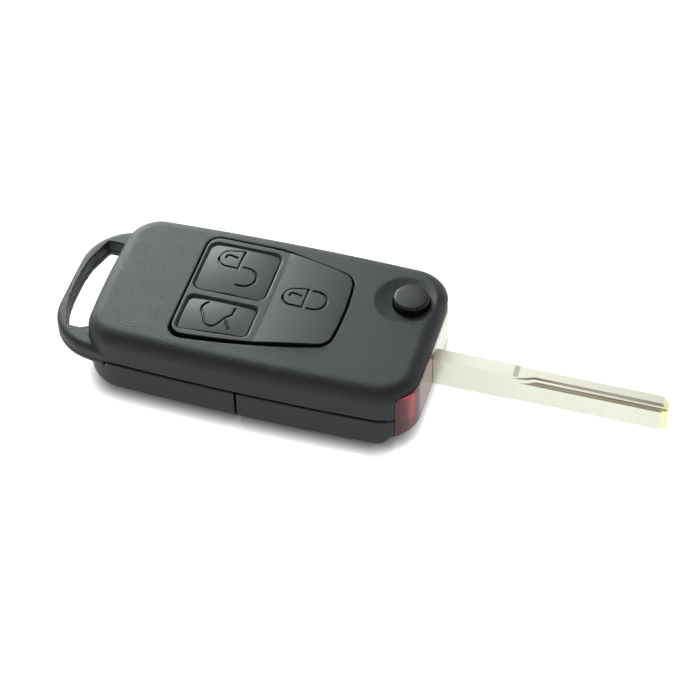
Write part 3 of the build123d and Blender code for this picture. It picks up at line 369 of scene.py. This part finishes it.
UNLOCK_HALF = (7.5 * MM, 6.6 * MM)
TRUNK_HALF = (7.2 * MM, 4.6 * MM)
unlock_form = cushion(UNLOCK_HALF, drop=0.2 * MM, rise=0.42 * MM)
trunk_form = cushion(TRUNK_HALF, drop=0.32 * MM, rise=0.2 * MM)
lock_form = saddle(
    left=7.6 * MM, ridge=0.8 * MM, span=9.5 * MM, reach=12.0 * MM,
    run_in=1.2 * MM, base=0.17 * MM, crown=0.48 * MM, trough=0.08 * MM,
)
for label, form in (("unlock", unlock_form), ("trunk", trunk_form), ("lock", lock_form)):
    print(label, "key's middle over its flat, mm:", round(form(0.0, 0.0) / MM, 2))

# %% [markdown]
# Each key's solid has a plain spherical dish in its top, and its rim would show as a circle.
# The function below takes the dish out and puts the new form in. Only points near the top
# move, and less the deeper they lie, so the sides of the key stay as they are.

# %% Smooth key tops
DISH_DEPTH = 0.7 * MM
SMALL_KEY_DROP = 0.35 * MM
SMALL_DISH_RADIUS = 60 * MM
LOCK_DISH_RADIUS = 45 * MM
LOCK_MIDDLE = (7.6 * MM, 1.6 * MM)
MOVED_DEPTH = 1.6 * MM
MOVED_FADE = 0.5 * MM
top_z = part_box("key_lock")[1][2]
dish_low = top_z - DISH_DEPTH
small_top = top_z - SMALL_KEY_DROP


def key_top(middle, dish_radius, flat_z, form):
    """Moves the points near a key's top from the dish to another form."""

    def move(x, y, z):
        across, along = x - middle[0], y - middle[1]
        share = clamped((z - (flat_z - MOVED_DEPTH)) / MOVED_FADE)
        sphere = dish_low + dish_radius - (dish_radius ** 2 - across ** 2 - along ** 2) ** 0.5
        return x, y, z + share * (form(across, along) - (min(flat_z, sphere) - flat_z))

    return move


def key_middle(node):
    """Middle of a key as seen from above."""
    low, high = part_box(node)
    return (low[0] + high[0]) / 2, (low[1] + high[1]) / 2


unlock_middle = key_middle("key_unlock")
trunk_middle = key_middle("key_trunk")
unlock_top = key_top(unlock_middle, SMALL_DISH_RADIUS, small_top, unlock_form)
trunk_top = key_top(trunk_middle, SMALL_DISH_RADIUS, small_top, trunk_form)
lock_top = key_top(LOCK_MIDDLE, LOCK_DISH_RADIUS, top_z, lock_form)
print("top of the lock key, mm:", round(top_z / MM, 2))

# %% [markdown]
# The solids leave a gap round each small key that is wider than on the real shell. Each copy
# reaches a little further out above its flange, which leaves the thin dark line of the photo.

# %% Thin gaps round the small keys
FLANGE_DEPTH = 2.4 * MM
GAP_TAKEN = 0.07 * MM


def widened(top, middle, half):
    """Key top that also grows outward above the key's flange."""

    def move(x, y, z):
        if z > top_z - FLANGE_DEPTH:
            x = middle[0] + (x - middle[0]) * (1 + GAP_TAKEN / half[0])
            y = middle[1] + (y - middle[1]) * (1 + GAP_TAKEN / half[1])
        return top(x, y, z)

    return move


unlock_move = widened(unlock_top, unlock_middle, UNLOCK_HALF)
trunk_move = widened(trunk_top, trunk_middle, TRUNK_HALF)
print("each small key grows by mm:", round(GAP_TAKEN / MM, 2))

# %% [markdown]
# The lock key and its frame are one skin in the mould: rubber bends where they meet, so there
# is no gap. Both copies reach a little into each other there.

# %% Keypad skin
SEAM_X = 0.0
OVERLAP = 0.3 * MM
FRAME_FROM = SEAM_X - 0.5 * MM
FRAME_TO = SEAM_X + 0.2 * MM
FRAME_FADE = 0.3 * MM
FRAME_DEPTH = 2 * MM
LOCK_TO = SEAM_X + 0.6 * MM
LOCK_FADE = 0.4 * MM
LOCK_SUNK = 0.012 * MM


def frame_reach(x, y, z):
    """Draws the frame's edge at the seam towards the key."""
    if FRAME_FROM < x < FRAME_TO and z > top_z - FRAME_DEPTH:
        x += OVERLAP * clamped((x - FRAME_FROM) / FRAME_FADE)
    return x, y, z


def lock_reach(x, y, z):
    """Draws the key's edge at the seam under the frame, a hair lower."""
    x, y, z = lock_top(x, y, z)
    if x < LOCK_TO and z > top_z - FLANGE_DEPTH:
        x -= OVERLAP * clamped((LOCK_TO - x) / LOCK_FADE)
        z -= LOCK_SUNK
    return x, y, z


soft_copy(
    "keypad_frame", "case", key_rubber, voxel_mm=0.1, rounds=8, most=80000, reshape=frame_reach
)
soft_copy(
    "key_unlock", "unlock", key_rubber, voxel_mm=0.07, rounds=5, most=110000, reshape=unlock_move
)
soft_copy(
    "key_trunk", "trunk", key_rubber, voxel_mm=0.08, rounds=5, most=60000, reshape=trunk_move
)
lock_skin = soft_copy(
    "key_lock", None, key_rubber, voxel_mm=0.07, rounds=5, most=150000, reshape=lock_reach
)
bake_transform(lock_skin)

# %% [markdown]
# The sealing mat below the keys is pale rubber without any gloss. It could be rounded as the
# keys are, but it lies inside the case, so its own CAD mesh does and only gets a material.

# %% Sealing mat
mat_rubber = finish(
    "mat_rubber", moulded_grain, {"Grain": 2600.0, "Cloud": 210.0},
    dark=seen(150, 150, 146), light=seen(166, 166, 162), roughness=0.6, bump_mm=0.01,
)
wear("keypad_membrane", mat_rubber)
print("mat rubber:", mat_rubber.name)

# %% [markdown]
# The release button is moulded in the same black as the case, in a polished mould with hardly
# any grain. Its top is slightly domed and runs into the side in a soft round. It could be
# turned from a curve, but lowering the soft copy's rim keeps its sides as the solid has them:
# the square of the distance from the axis gives the dome, and a high power of it the round.

# %% Release button
HUB_AXIS = Vector((0.02715, 0.00804))
BUTTON_RADIUS = 3.6 * MM
DOME_DROP = 0.16 * MM
RIM_DROP = 0.12 * MM
RIM_POWER = 12
DOME_DEPTH = 1.2 * MM
DOME_FADE = 1.0 * MM
button_plastic = finish(
    "button_plastic", moulded_grain, {"Grain": 5200.0, "Cloud": 140.0},
    dark=seen(8, 9, 11), light=seen(14, 15, 17), roughness=0.32, bump_mm=0.01, specular=0.4,
)
button_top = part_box("release_button")[1][2]


def domed(x, y, z):
    """Lowers the rim of the button's top."""
    away = (Vector((x, y)) - HUB_AXIS).length / BUTTON_RADIUS
    share = clamped((z - (button_top - DOME_DEPTH)) / DOME_FADE)
    return x, y, z - share * (DOME_DROP * away ** 2 + RIM_DROP * away ** RIM_POWER)


soft_copy(
    "release_button", "button", button_plastic, voxel_mm=0.09, rounds=4, most=40000, reshape=domed
)

# %% [markdown]
# The window is a clear red moulding. A see-through surface could be made with Alpha, but the
# window is a closed solid with a thickness. Transmission bends the light in it and tints it on
# the way in and on the way out, so the red looks deeper than the colour that is set. Faint
# streaks vary it, as the flow lines of a moulding do.


# %% Red window
def window_material():
    """Clear red plastic with faint streaks."""
    material = bpy.data.materials.new("red_window")
    material.use_nodes = True
    tree = material.node_tree
    place = tree.nodes.new("ShaderNodeTexCoord").outputs["Object"]
    streaks = add_node(tree, "ShaderNodeTexNoise", {
        "Vector": stretched(tree, place, (1.0, 1.0, 0.45)),
        "Scale": 260.0, "Detail": 2.0, "Distortion": 0.8,
    }).outputs["Fac"]
    bump = add_node(tree, "ShaderNodeBump", {"Distance": 0.03 * MM, "Height": streaks})
    pale_red, full_red = (0.46, 0.09, 0.1, 1.0), (0.78, 0.045, 0.055, 1.0)
    feed(tree, tree.nodes["Principled BSDF"], {
        "Base Color": colour_ramp(tree, streaks, 0.4, pale_red, 0.62, full_red),
        "Normal": bump.outputs["Normal"],
        "Transmission Weight": 0.9,
        "IOR": 1.49,
        "Roughness": 0.12,
    })
    return material


red_window = window_material()
wear("signal_window", red_window)
print("window:", red_window.name)

# %% [markdown]
# The hub is a zinc casting with a pale satin plating. The blade is milled from bar and plated
# too, with polished faces. A light grey paint would look dead here, because metal mostly
# mirrors the room. So Metallic is 1, and both colours are nearly white with a touch of yellow.

# %% Hub and blade metal
hub_metal = finish(
    "hub_metal", tool_marks, {"Stretch": (1.0, 1.0, 1.0), "Fineness": 1500.0},
    dark=seen(232, 232, 218), light=seen(244, 244, 232),
    roughness=0.34, bump_mm=0.004, metallic=1.0,
)
wear("flip_hub", hub_metal)
blade_metal = finish(
    "blade_metal", tool_marks, {"Stretch": (0.7, 0.6, 0.5), "Fineness": 1700.0},
    dark=seen(240, 240, 221), light=seen(249, 249, 233),
    roughness=0.26, bump_mm=0.002, rough_spread=0.05, metallic=1.0,
)
wear("blade", blade_metal)
print("plated metals:", hub_metal.name, blade_metal.name)

# %% [markdown]
# Parts of one piece can look different: the track floors, the tip and the upper edges of the
# blade. Each could be a piece of its own, but it's one solid, so a mask in its material says
# where the other look applies. Three helpers make a mask and use it on a colour or a number.


# %% Masks
def between(tree, value, low, high, soft):
    """Mask that is 1 between two values, with soft ends."""
    ends = []
    for place, before, after in ((low, 0.0, 1.0), (high, 1.0, 0.0)):
        step = tree.nodes.new("ShaderNodeMapRange")
        step.interpolation_type = "SMOOTHSTEP"
        feed(tree, step, {
            "Value": value, "From Min": place - soft, "From Max": place + soft,
            "To Min": before, "To Max": after,
        })
        ends.append(step.outputs["Result"])
    return maths(tree, "MULTIPLY", *ends)


def tint(tree, socket, mask, colour):
    """Lays a colour, or what another node puts out, over what feeds the socket."""
    under = socket.links[0].from_socket
    tree.links.new(mixed(tree, "RGBA", mask, under, colour), socket)


def masked_change(tree, socket, mask, change):
    """Adds a change to the socket's value where the mask is 1."""
    value = socket.links[0].from_socket if socket.is_linked else socket.default_value
    tree.links.new(maths(tree, "MULTIPLY_ADD", mask, change, value), socket)


print("mask helpers ready")

# %% [markdown]
# A cutter leaves long fine lines on the floors of the two tracks. Noise stretched along the
# blade gives such lines. Whether a point is on a floor depends only on where it lies in the
# blade: below the near and far faces, between the two narrow edges, and past the place where
# the tracks start. So the mask compares a point's place with those sizes.

# %% Track floors
TRACK_START = 50.5 * MM
FACE_DEPTH = 0.22 * MM
UPPER_EDGE, LOWER_EDGE = 0.42 * MM, 0.4 * MM
TIP_EDGE = 0.05 * MM
LONG_LINES = (0.012, 0.2, 1.0)
blade_tree = blade_metal.node_tree
blade_shader = blade_tree.nodes["Principled BSDF"].inputs
blade_low, blade_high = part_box("blade")
floor_y = (blade_high[1] - blade_low[1]) / 2 - FACE_DEPTH
place = blade_tree.nodes["Texture Coordinate"].outputs["Object"]
along = add_node(blade_tree, "ShaderNodeSeparateXYZ", {"Vector": place}).outputs
track_end = blade_high[0] - TIP_EDGE
floor_low, floor_high = blade_low[2] + LOWER_EDGE, blade_high[2] - UPPER_EDGE
below_faces = between(blade_tree, along["Y"], -floor_y, floor_y, soft=0.08 * MM)
past_start = between(blade_tree, along["X"], TRACK_START, track_end, soft=0.1 * MM)
off_edges = between(blade_tree, along["Z"], floor_low, floor_high, soft=0.04 * MM)
grooves = maths(blade_tree, "MULTIPLY", below_faces, past_start)
grooves = maths(blade_tree, "MULTIPLY", grooves, off_edges)
cutter = add_node(blade_tree, "ShaderNodeTexNoise", {
    "Vector": stretched(blade_tree, place, LONG_LINES), "Scale": 5200.0, "Detail": 2.0,
}).outputs["Fac"]
cut_lines = colour_ramp(blade_tree, cutter, 0.4, seen(228, 220, 204), 0.6, seen(254, 252, 243))
tint(blade_tree, blade_shader["Base Color"], grooves, cut_lines)
masked_change(blade_tree, blade_shader["Roughness"], grooves, change=-0.1)
print("track floors apart, mm:", round(2 * floor_y / MM, 2))

# %% [markdown]
# The last millimetre of the blade looks warmer than the rest, as if its brass showed where
# the point was cut. Another mask across the same blade is all that it takes.

# %% Tip of the blade
TIP_LENGTH = 1.35 * MM
tip_start = blade_high[0] - TIP_LENGTH
tip = between(blade_tree, along["X"], tip_start, blade_high[0] + 1 * MM, soft=0.05 * MM)
tint(blade_tree, blade_shader["Base Color"], tip, seen(250, 246, 200))
print("tip starts at mm:", round(tip_start / MM, 2))

# %% [markdown]
# The narrow edges of the blade and the hub's upper face are left as the saw and the die made
# them, duller than the polished sides. Their colour is painted darker too, as painted shade
# that keeps the lamps overhead from burning them out. They all look upwards, and the hinge
# turns about an upright axis, so the surface normal makes a mask that stays right at every pose.


# %% Dull upper faces with painted shade
def dull_and_shade_top(material, colour, bright=None):
    """Dulls what looks upwards and paints it darker as shade, but not where bright is 1."""
    steep, beyond_one, soft = 0.75, 2.0, 0.15
    tree = material.node_tree
    shader = tree.nodes["Principled BSDF"].inputs
    normal = tree.nodes.new("ShaderNodeNewGeometry").outputs["Normal"]
    split = add_node(tree, "ShaderNodeSeparateXYZ", {"Vector": normal})
    upward = between(tree, split.outputs["Z"], steep, beyond_one, soft)
    if bright is not None:
        upward = maths(tree, "SUBTRACT", upward, bright, clamp=True)
    # Painted shade: faces that look upwards take a darker colour.
    tint(tree, shader["Base Color"], upward, colour)
    masked_change(tree, shader["Roughness"], upward, change=0.35)


# Painted shade colours for the upper faces of the blade and the hub.
dull_and_shade_top(blade_metal, seen(231, 229, 215), bright=grooves)
dull_and_shade_top(hub_metal, seen(212, 212, 200))
print("dull upper faces on:", blade_metal.name, hub_metal.name)

# %% [markdown]
# The pins, the screws and the washer are plain steel, and the battery's contacts are stamped
# from a brass coloured strip. They could be rounded too, but they hardly show in the closed
# shell, so they keep their CAD meshes and share two finishes.

# %% Steel and contact metal
steel = finish(
    "steel", tool_marks, {"Stretch": (1.0, 1.0, 0.2), "Fineness": 1800.0},
    dark=seen(150, 150, 150), light=seen(178, 178, 176),
    roughness=0.3, bump_mm=0.004, metallic=1.0,
)
contact_metal = finish(
    "contact_metal", tool_marks, {"Stretch": (0.2, 1.0, 1.0), "Fineness": 1800.0},
    dark=seen(196, 180, 130), light=seen(214, 202, 158),
    roughness=0.3, bump_mm=0.003, metallic=1.0,
)
for node in ("pivot_pin", "blade_pin", "case_screw_1", "case_screw_2", "thrust_washer"):
    wear(node, steel)
for node in ("contact_plus", "contact_minus"):
    wear(node, contact_metal)
print("small metal finishes:", steel.name, contact_metal.name)

# %% [markdown]
# The flip spring stands on the hub's floor and carries the release button. A stiff spring would
# poke through the pressed button, so the coil has to get shorter by the button's travel. Its
# piece is a copy of the coil that goes with the hub.

# %% Flip spring
coil = bpy.data.objects.new("coil_spring", nodes["flip_spring"].data.copy())
bpy.context.scene.collection.objects.link(coil)
coil.data.materials.clear()
coil.data.materials.append(steel)
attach(coil, "hub")
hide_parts("flip_spring")
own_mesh(coil)

# %% [markdown]
# The photograph was taken on a white table that is lit from below as well, so that only a
# narrow shadow is left where the shell touches it. The floor gets light of its own for what
# the camera sees, and ambient occlusion takes that light away close to the shell. Light Path
# keeps the glow out of the light that falls on the shell and leaves it in its reflections.

# %% Floor
FLOOR_SIZE = 6.0
FLOOR_GLOW = 0.8
CAMERA_GLOW = 0.2
CONTACT_REACH = 3 * MM
CONTACT_POWER = 1.9


def floor_material():
    """Pale table that glows where it is looked at."""
    material = bpy.data.materials.new("table")
    material.use_nodes = True
    tree = material.node_tree
    shader = feed(tree, tree.nodes["Principled BSDF"], {
        "Base Color": (0.35, 0.365, 0.36, 1.0), "Roughness": 0.9, "Specular IOR Level": 0.0,
    })
    ray = tree.nodes.new("ShaderNodeLightPath").outputs
    looked_at = maths(tree, "MAXIMUM", ray["Is Camera Ray"], ray["Is Glossy Ray"])
    looked_at = maths(tree, "MAXIMUM", looked_at, ray["Is Transmission Ray"])
    own_light = maths(tree, "MULTIPLY", looked_at, FLOOR_GLOW)
    own_light = maths(tree, "MULTIPLY_ADD", ray["Is Camera Ray"], CAMERA_GLOW, own_light)
    contact = add_node(tree, "ShaderNodeAmbientOcclusion", {"Distance": CONTACT_REACH})
    contact.samples = 8
    open_share = maths(tree, "POWER", contact.outputs["AO"], CONTACT_POWER)
    glow = add_node(tree, "ShaderNodeEmission", {
        "Color": (0.975, 1.0, 0.995, 1.0),
        "Strength": maths(tree, "MULTIPLY", own_light, open_share),
    })
    both = add_node(tree, "ShaderNodeAddShader", {
        0: shader.outputs["BSDF"], 1: glow.outputs["Emission"],
    })
    feed(tree, tree.nodes["Material Output"], {"Surface": both.outputs["Shader"]})
    return material


def flat_sheet(name, size):
    """Level square at height zero."""
    mesh = bpy.data.meshes.new(name)
    half = size / 2
    corners = [(-half, -half, 0.0), (half, -half, 0.0), (half, half, 0.0), (-half, half, 0.0)]
    mesh.from_pydata(corners, [], [(0, 1, 2, 3)])
    sheet = bpy.data.objects.new(name, mesh)
    bpy.context.scene.collection.objects.link(sheet)
    return sheet


floor = flat_sheet("floor", FLOOR_SIZE)
floor.data.materials.append(floor_material())
print("floor:", floor.name)

# %% [markdown]
# A large soft box behind the shell, a little to the left, gives the top its even sheen and
# leaves the near wall dark. One lamp would light the top evenly from end to end, but in the
# photo its left end is the brightest. So a small box stands lower and much closer behind that
# end, and its light falls off along the shell.


# %% Lamps
def soft_box(name, direction, distance, size, power):
    """Square lamp that looks at the shell from a direction."""
    lamp = bpy.data.lights.new(name, "AREA")
    lamp.shape = "SQUARE"
    lamp.size = size
    lamp.energy = power
    lamp.color = (0.94, 1.0, 0.99)
    lamp_object = bpy.data.objects.new(name, lamp)
    toward = Vector(direction).normalized()
    shell_middle = Vector((0.015, 0, 0.01))
    lamp_object.location = toward * distance + shell_middle
    lamp_object.rotation_euler = toward.to_track_quat("Z", "Y").to_euler()
    bpy.context.scene.collection.objects.link(lamp_object)
    print("lamp:", name, "power W:", power)


soft_box("back_box", direction=(-0.42, 0.6, 0.72), distance=0.75, size=0.5, power=2.1)
soft_box("left_box", direction=(-0.66, 0.65, 0.33), distance=0.2, size=0.133, power=0.37)

# %% [markdown]
# The rest of the light comes from the room. It could be one even white, but light from overhead
# flattens the top, so the room is brighter at the sides, where it lights the walls. What the
# camera sees of it is plain white, as the background of the photograph is.

# %% Room light
SIDE_LIGHT = 0.9
TOP_LIGHT = 0.2
SEEN_LIGHT = 1.0
world = bpy.data.worlds.new("room")
bpy.context.scene.world = world
world.use_nodes = True
room = world.node_tree
facing = room.nodes.new("ShaderNodeTexCoord").outputs["Generated"]
split = add_node(room, "ShaderNodeSeparateXYZ", {"Vector": facing})
height = add_node(room, "ShaderNodeMapRange", {
    "Value": split.outputs["Z"], "To Min": SIDE_LIGHT, "To Max": TOP_LIGHT,
})
camera_ray = room.nodes.new("ShaderNodeLightPath").outputs["Is Camera Ray"]
strength = mixed(room, "FLOAT", camera_ray, height.outputs["Result"], SEEN_LIGHT)
feed(room, room.nodes["Background"], {"Color": (1.0, 1.0, 1.0, 1.0), "Strength": strength})
print("room light from", TOP_LIGHT, "overhead to", SIDE_LIGHT, "at the sides")

# %% [markdown]
# The camera stands where the photographer stood. Its angles and distance were fitted to the
# outline of the case, and the long lens keeps the perspective as flat as in the picture.

# %% Camera
AZIMUTH = radians(17.04)
ELEVATION = radians(47.46)
ROLL = radians(-0.98)
LENS_PIXELS = 2405.92
PICTURE_PIXELS = 700
AIM = Vector((2.88, 0.0, 1.056)) * MM
AWAY_MM, RIGHT_MM, UP_MM = 486.59, 13.15, 1.59
back = Vector((sin(AZIMUTH) * cos(ELEVATION), -cos(AZIMUTH) * cos(ELEVATION), sin(ELEVATION)))
right = Vector((0, 0, 1)).cross(back).normalized()
up = back.cross(right)
turned_right = right * cos(ROLL) + up * sin(ROLL)
turned_up = up * cos(ROLL) - right * sin(ROLL)
camera_data = bpy.data.cameras.new("camera")
camera_data.sensor_width = 36.0
camera_data.lens = camera_data.sensor_width * LENS_PIXELS / PICTURE_PIXELS
camera = bpy.data.objects.new("camera", camera_data)
spot = AIM + back * AWAY_MM * MM + turned_right * RIGHT_MM * MM + turned_up * UP_MM * MM
axes = Matrix((turned_right, turned_up, back)).transposed()
camera.matrix_world = Matrix.Translation(spot) @ axes.to_4x4()
bpy.context.scene.collection.objects.link(camera)
bpy.context.scene.camera = camera
bpy.context.scene.view_settings.view_transform = "Standard"
print("camera lens mm:", round(camera_data.lens, 1))

# %% End
print("scene ready")
